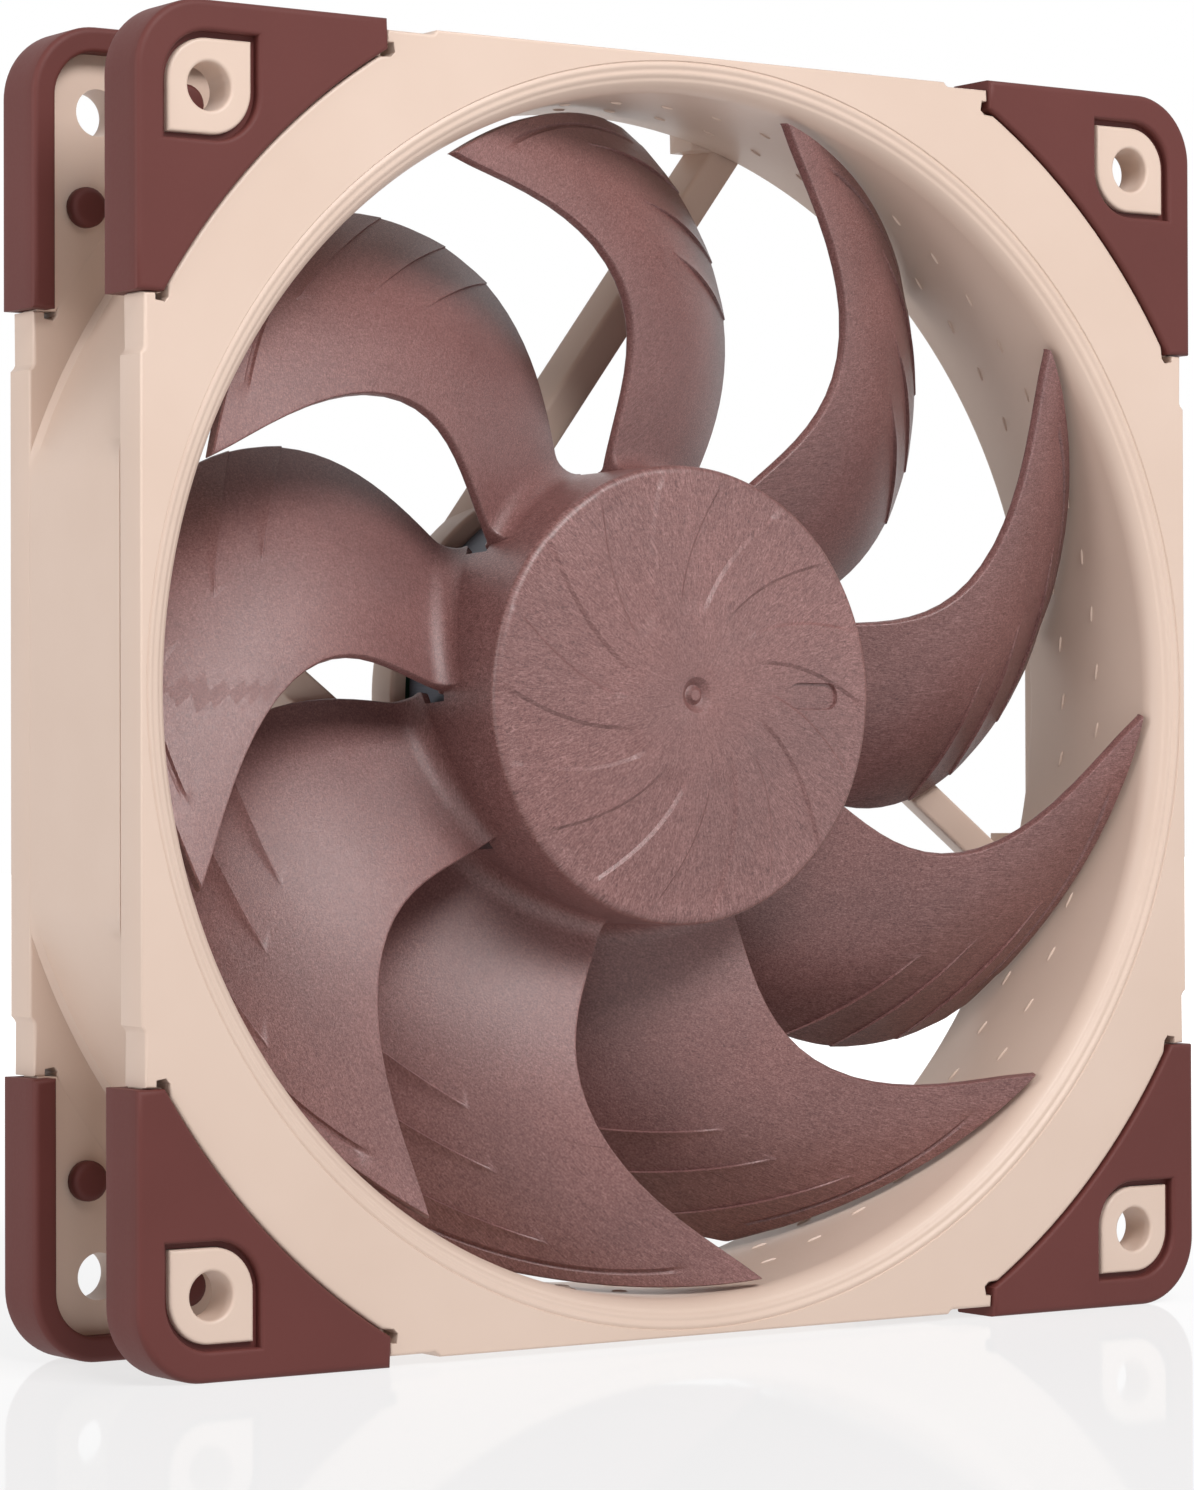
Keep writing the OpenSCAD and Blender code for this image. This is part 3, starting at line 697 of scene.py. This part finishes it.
frameMesh = newStore()
edge = body["edge"]
quarter = [Matrix.Rotation(math.radians(-90 * n), 4, "Y") for n in range(4)]
plateHole = circleHole(0, 0, body["plateR"], 240, 0)
plate(frameMesh, [flangeOutline(), plateHole], body["inner"], body["face"], edge, edge)
plate(frameMesh, [flangeOutline(), openingLoop()], -body["face"], -body["inner"], edge, edge)
boreHole = circleHole(body["holeAt"], body["holeAt"], body["holeR"], 40, 0)
boreSoft = circleHole(body["holeAt"], body["holeAt"], body["holeR"], 40, 1)
for turn in quarter:
    plate(frameMesh, [cornerOutline(), boreHole], body["inner"], body["seat"], turn=turn)
    plate(frameMesh, [leafOutline(8.4, 4), boreSoft], body["seat"], body["face"], 0.3, 0, turn=turn)
    plate(frameMesh, [cornerOutline(), boreHole], -body["seat"], -body["inner"], turn=turn)
    plate(frameMesh, [leafOutline(8.4, 4), boreSoft], -body["face"], -body["seat"], 0, 0.3, turn=turn)
print("flanges built")

# Duct, inlet lip and barrel in one turned ring, whose outside is cut flat on four sides
lip, ductR, face = body["lipR"], body["ductR"], body["face"]
ring = [(body["plateR"], face)]
lipSteps = 44
# fine rings in the lip: distance out from the duct, depth and half width
lipRings = ((2.72, 0.13, 0.34), (1.95, 0.12, 0.36), (1.2, 0.08, 0.3))
for j in range(1, lipSteps + 1):
    a = math.pi / 2 * j / lipSteps
    away = lip - lip * math.sin(a)
    sunk = sum(deep * (1 - ease(abs(away - middle), 0, wide)) for middle, deep, wide in lipRings)
    ring.append((ductR + away, face - lip + lip * math.cos(a) - sunk))
ring.append((ductR, 0))
ring += [(ductR, -7.7), (ductR + 0.15, -8.1), (ductR + 0.5, -body["inner"])]
ring += [(body["barrelR"] - 0.6, -body["inner"], body["side"] - 0.05)]
ring += [(body["barrelR"] + 0.5, -body["inner"] + 0.02, body["side"]),
         (body["barrelR"], -body["inner"] + 0.6, body["side"])]
ring += [(body["barrelR"], h, body["side"]) for h in (-4, 0, 4)]
ring += [(body["barrelR"], body["inner"] - 0.6, body["side"]),
         (body["barrelR"] + 0.5, body["inner"] - 0.02, body["side"])]
ring += [(body["plateR"], body["inner"], body["side"] - 0.05)]
addShell(frameMesh, *gridFaces(lathe(ring, 360), closeUp=True))

# Struts, end blocks and motor base
strut = {"inside": 16.5, "wide": 3.3, "lean": 0.9, "angle": 52.8, "from": 0.0, "to": 55.5, "edge": 0.5,
         "blockX": 13.5, "blockWide": 8.6, "blockY": 53.9, "blockTop": 59.0, "shy": 0.03,
         "channelTurn": 3, "channelFrom": 13.4, "channelTo": 58.4, "channelAcross": (18.1, 20.0),
         "channelDeep": 1.6}


def strutPlace(along, across, h):
    a = math.radians(strut["angle"])
    c, s = math.cos(a), math.sin(a)
    return place(c * along - s * across, s * along + c * across, h)


def strutShell(store, turn):
    section = []
    face = body["face"] - strut["shy"]
    corners = [(0, -body["inner"]), (strut["wide"], -body["inner"]),
               (strut["wide"] + strut["lean"], -face), (strut["lean"], -face)]
    e = strut["edge"]
    for i, (x, h) in enumerate(corners):
        px, ph = corners[i - 1]
        qx, qh = corners[(i + 1) % 4]
        lp, lq = math.hypot(px - x, ph - h), math.hypot(qx - x, qh - h)
        p1 = (x + (px - x) / lp * e, h + (ph - h) / lp * e)
        p2 = (x + (qx - x) / lq * e, h + (qh - h) / lq * e)
        for j in range(5):
            t = j / 4
            bx = (1 - t) ** 2 * p1[0] + 2 * t * (1 - t) * x + t * t * p2[0]
            bh = (1 - t) ** 2 * p1[1] + 2 * t * (1 - t) * h + t * t * p2[1]
            section.append((bx, bh))
    rows = []
    for along in (strut["from"], 25, 40, strut["to"]):
        rows.append([strutPlace(along, strut["inside"] + x, h) for x, h in section])
    verts, faces = gridFaces(rows)
    addShell(store, *endCaps(verts, faces, rows), turn)


# Channel for a lead, along the rear of one strut and into the motor base
def channelSlug(spare=0.0):
    near, far = strut["channelAcross"][0] - spare, strut["channelAcross"][1] + spare
    low, high = -body["face"] - 1, -body["face"] + strut["channelDeep"] + spare
    corners = ((near, low), (far, low), (far, high), (near, high))
    rows = [[strutPlace(along, across, h) for across, h in corners]
            for along in (strut["channelFrom"], strut["channelTo"])]
    slug = newStore()
    addShell(slug, *endCaps(*gridFaces(rows), rows), quarter[strut["channelTurn"]])
    return slug


for n, turn in enumerate(quarter):
    bar, block = newStore(), newStore()
    strutShell(bar, turn)
    x0, x1, y0 = strut["blockX"], strut["blockX"] + strut["blockWide"], strut["blockY"]
    outline = [(x0, y0, 1), (x1, y0, 1), (x1, strut["blockTop"], 0), (x0, strut["blockTop"], 0)]
    plate(block, [outline], -face + strut["shy"] * 2, -body["inner"] + 0.1, 0.3, 0.3, turn=turn)
    for part, spare in ((bar, 0), (block, 0.04)):
        joinStore(frameMesh, cutAway(part, channelSlug(spare)) if n == strut["channelTurn"] else part)

base = {"radius": 21.4, "depth": 4.0, "wall": 1.5, "floor": 1.2, "labelR": 18.2, "labelSeat": 0.3,
        "tubeR": 4.3, "boreR": 3.55, "tubeTop": 3.4, "boreFloor": -11.1}
br, bf = base["radius"], -face
profile = [(0.02, base["boreFloor"]), (base["boreR"], base["boreFloor"]),
           (base["boreR"], base["tubeTop"] - 0.2),
           (base["boreR"] + 0.2, base["tubeTop"]), (base["tubeR"] - 0.2, base["tubeTop"]),
           (base["tubeR"], base["tubeTop"] - 0.2), (base["tubeR"], bf + base["floor"]),
           (br - base["wall"], bf + base["floor"]), (br - base["wall"], bf + base["depth"]),
           (br - 0.5, bf + base["depth"])]
for j in range(1, 6):
    a = math.pi / 2 * j / 5
    profile.append((br - 0.5 + 0.5 * math.sin(a), bf + base["depth"] - 0.5 + 0.5 * math.cos(a)))
for j in range(0, 6):
    a = math.pi / 2 * j / 5
    profile.append((br - 0.6 + 0.6 * math.cos(a), bf + 0.6 - 0.6 * math.sin(a)))
profile += [(base["labelR"] + 0.12, bf), (base["labelR"], bf + 0.12),
            (base["labelR"], bf + base["labelSeat"]), (0.02, bf + base["labelSeat"])]
rows = lathe(profile, 180)
baseMesh = newStore()
addShell(baseMesh, *endCaps(*gridFaces(rows), rows))
joinStore(frameMesh, cutAway(baseMesh, channelSlug(0.08)))

# Fine fins on the duct's wall, in two staggered rows
fin = {"count": 60, "rows": ((2.5, 3.0), (-2.85, 0.0)), "long": 1.7, "wide": 0.42, "tall": 0.17, "lean": 76}


def finShell(store, a, h):
    rows = []
    tilt = math.radians(fin["lean"])
    for s, grow in ((-1, 0.05), (-0.7, 0.8), (0, 1), (0.7, 0.8), (1, 0.05)):
        along = s * fin["long"] / 2
        row = []
        for side, up in ((-1, -0.3), (-0.35, 1), (0.35, 1), (1, -0.3)):
            across = side * fin["wide"] / 2 * (0.4 + 0.6 * grow)
            hh = h + along * math.cos(tilt) - across * math.sin(tilt)
            aa = a + math.degrees((across * math.cos(tilt) + along * math.sin(tilt)) / ductR)
            row.append(polar(ductR - up * fin["tall"] * grow + (0.05 if up < 0 else 0), aa, hh))
        rows.append(row)
    addShell(store, *endCaps(*gridFaces(rows), rows))


for h, offset in fin["rows"]:
    for k in range(fin["count"]):
        finShell(frameMesh, 360 / fin["count"] * k + offset, h)
framePiece = makePiece("frameMoulding", frameMesh, beigePlastic, "housing", ("frame",), 34)
print("frame built", len(framePiece.data.polygons))


pad = {"top": 12.5, "seat": 10.9, "sideThick": 1.3, "lipWide": 2.3, "lipTall": 1.9, "corner": 6.5,
       "edge": 0.55, "pegX": 53.9, "pegY": 43.8, "pegR": 1.2, "headR": 1.85, "headTall": 1.4,
       "window": 9.5, "windowRound": 4.5, "webInside": 8.46, "webTall": 0.6}


# Outer path of a pad at a distance inside its outer edge
def padPath(inset, k):
    h, r, start = body["half"], pad["corner"], body["padEdge"]
    points = [(h - inset, start, k), (h - inset, start + 4, k)]
    points += arcPoints(h - r, h - r, r - inset, 0, 90, 18, k)
    points += [(start + 4, h - inset, k), (start, h - inset, k)]
    return points


def padShells(turn):
    store = newStore()
    top, inner = pad["top"], body["inner"]
    side, lipIn = pad["sideThick"] - 0.05, pad["lipWide"]
    # side band up to the seat, with a lip that hooks behind the flange
    outer = padPath(0, 1)
    band = [(x, y, 0) for x, y, k in outer] + [(x, y, 0) for x, y, k in padPath(side, 0)][::-1]
    plate(store, [band], inner - 0.05, pad["seat"], turn=turn)
    hook = outer + [(x, y, 0.6) for x, y, k in padPath(lipIn, 1)][::-1]
    plate(store, [hook], inner - pad["lipTall"], inner - 0.05, 0, pad["edge"], 5, turn)
    # cap over the band and the flange's face, out to the arc round the duct
    arc, start = body["arcR"], body["padEdge"]
    x = math.sqrt(arc ** 2 - start ** 2)
    a0 = math.degrees(math.atan2(start, x))
    cap = outer + arcPoints(0, 0, arc, 90 - a0, a0, 30, 0.6)
    window = leafOutline(pad["window"], pad["windowRound"], 0.7)[::-1]
    plate(store, [cap, window], pad["seat"], top, pad["edge"], 0, 5, turn)
    # thin web that fills the space round the leaf, below the pad's surface
    web = [leafOutline(pad["window"] + 0.1, pad["windowRound"], 0),
           leafOutline(pad["webInside"], 4, 0)[::-1]]
    plate(store, web, pad["seat"] + 0.05, pad["seat"] + pad["webTall"], turn=turn)
    # two pegs whose round heads show behind the flange
    for px, py in ((pad["pegX"], pad["pegY"]), (pad["pegY"], pad["pegX"])):
        r, base, tall = pad["headR"], inner - 0.04, pad["headTall"]
        outlineRZ = [(0.02, pad["seat"] + 0.2), (pad["pegR"], pad["seat"] + 0.2), (pad["pegR"], base),
                     (r - 0.1, base), (r, base - 0.15), (r, base - tall + 0.7)]
        for j in range(1, 6):
            a = math.pi / 2 * j / 5
            outlineRZ.append((r - 0.7 + 0.7 * math.cos(a), base - tall + 0.7 - 0.7 * math.sin(a)))
        outlineRZ.append((0.02, base - tall))
        rows = []
        for rr, hh in outlineRZ:
            around = [math.radians(15 * i) for i in range(24)]
            rows.append([place(px + rr * math.cos(a), py + rr * math.sin(a), hh) for a in around])
        addShell(store, *endCaps(*gridFaces(rows), rows), turn)
    return store


padTurns = {
    "top_right": Matrix.Identity(4), "top_left": mirrorX,
    "bottom_right": mirrorZ, "bottom_left": mirrorX @ mirrorZ,
}
for corner, turn in padTurns.items():
    for side, flip in (("front", Matrix.Identity(4)), ("rear", mirrorY)):
        node = side + "_pad_" + corner
        makePiece(node + "_rubber", padShells(flip @ turn), siliconeRubber,
                  "housing", (node,), 36)
print("pads built")


studio = {"floorZ": -60.0, "ambient": 0.1, "backdrop": 1.0, "floorGlow": (0.72, 0.94),
          "glowReach": (0.13, 0.5), "floorLight": (0.165, 0.163, 0.165), "floorDark": (0.15, 0.147, 0.15)}
rows = [[(x, y, studio["floorZ"] * mm) for y in (-2, -0.7, 0.7, 2)] for x in (-2, -0.7, 0.7, 2)]
verts, faces = gridFaces(rows, openRows=True)
mesh = bpy.data.meshes.new("paleFloor")
mesh.from_pydata(verts, [], faces)
mesh.shade_smooth()
floor = bpy.data.objects.new("paleFloor", mesh)
bpy.context.scene.collection.objects.link(floor)
# The floor glows as painted light: white emission, about 0.72 near the middle and rising to 0.94 further
# out, so it reads as white and also lights the body from below
floorMat, nodes, links, shader, coords = nodeSetup("glowingFloor")
soft = noiseNode(nodes, links, coords.outputs["Object"], 3, 2)
tone = rampNode(nodes, links, soft.outputs["Fac"], [(0.3, studio["floorDark"]), (0.7, studio["floorLight"])])
links.new(tone.outputs["Color"], shader.inputs["Base Color"])
shader.inputs["Roughness"].default_value = 0.05
shader.inputs["IOR"].default_value = 1.025
shader.inputs["Emission Color"].default_value = (1, 1, 1, 1)
away = nodes.new("ShaderNodeVectorMath")
away.operation = "LENGTH"
links.new(coords.outputs["Object"], away.inputs[0])
glow = nodes.new("ShaderNodeMapRange")
glow.inputs["From Min"].default_value, glow.inputs["From Max"].default_value = studio["glowReach"]
glow.inputs["To Min"].default_value, glow.inputs["To Max"].default_value = studio["floorGlow"]
links.new(away.outputs["Value"], glow.inputs["Value"])
links.new(glow.outputs["Result"], shader.inputs["Emission Strength"])
mesh.materials.append(floorMat)


def areaLight(name, position, target, size, power, color=(1, 1, 1)):
    data = bpy.data.lights.new(name, "AREA")
    data.shape = "RECTANGLE"
    data.size, data.size_y = size
    data.energy = power
    data.color = color
    lamp = bpy.data.objects.new(name, data)
    bpy.context.scene.collection.objects.link(lamp)
    lamp.location = position
    lamp.rotation_euler = (Vector(target) - Vector(position)).to_track_quat("-Z", "Y").to_euler()
    return lamp


areaLight("keySoft", (-0.02, -0.56, 0.5), (0, 0, 0), (0.52, 0.27), 5.3)
areaLight("leftSoft", (-0.7, -0.08, 0.16), (0, 0, 0), (0.3, 0.5), 2.5)
areaLight("rightFill", (0.9, -0.9, -0.02), (0, 0, 0), (0.7, 0.5), 1.3)

# White setting: seen directly and in gloss at full strength, dimmer where it lights the surfaces
world = bpy.data.worlds.new("studioWorld")
bpy.context.scene.world = world
world.use_nodes = True
nodes, links = world.node_tree.nodes, world.node_tree.links
path = nodes.new("ShaderNodeLightPath")
seen = nodes.new("ShaderNodeMath")
seen.operation = "MAXIMUM"
links.new(path.outputs["Is Camera Ray"], seen.inputs[0])
links.new(path.outputs["Is Glossy Ray"], seen.inputs[1])
level = nodes.new("ShaderNodeMapRange")
level.inputs["To Min"].default_value = studio["ambient"]
level.inputs["To Max"].default_value = studio["backdrop"]
links.new(seen.outputs[0], level.inputs["Value"])
nodes["Background"].inputs["Color"].default_value = (1, 1, 1, 1)
links.new(level.outputs["Result"], nodes["Background"].inputs["Strength"])

cameraSet = {"spot": (-0.25993, -0.37319, -0.00778), "turn": (90.674, 0.155, -34.484),
             "lens": 115.65, "shiftY": -0.0151}
cameraData = bpy.data.cameras.new("camera")
cameraData.lens = cameraSet["lens"]
cameraData.sensor_width = 36
cameraData.shift_y = cameraSet["shiftY"]
cameraData.clip_start = 0.01
camera = bpy.data.objects.new("camera", cameraData)
bpy.context.scene.collection.objects.link(camera)
camera.location = cameraSet["spot"]
camera.rotation_euler = [math.radians(a) for a in cameraSet["turn"]]
bpy.context.scene.camera = camera
bpy.context.scene.view_settings.view_transform = "Standard"
print("camera and lights set")
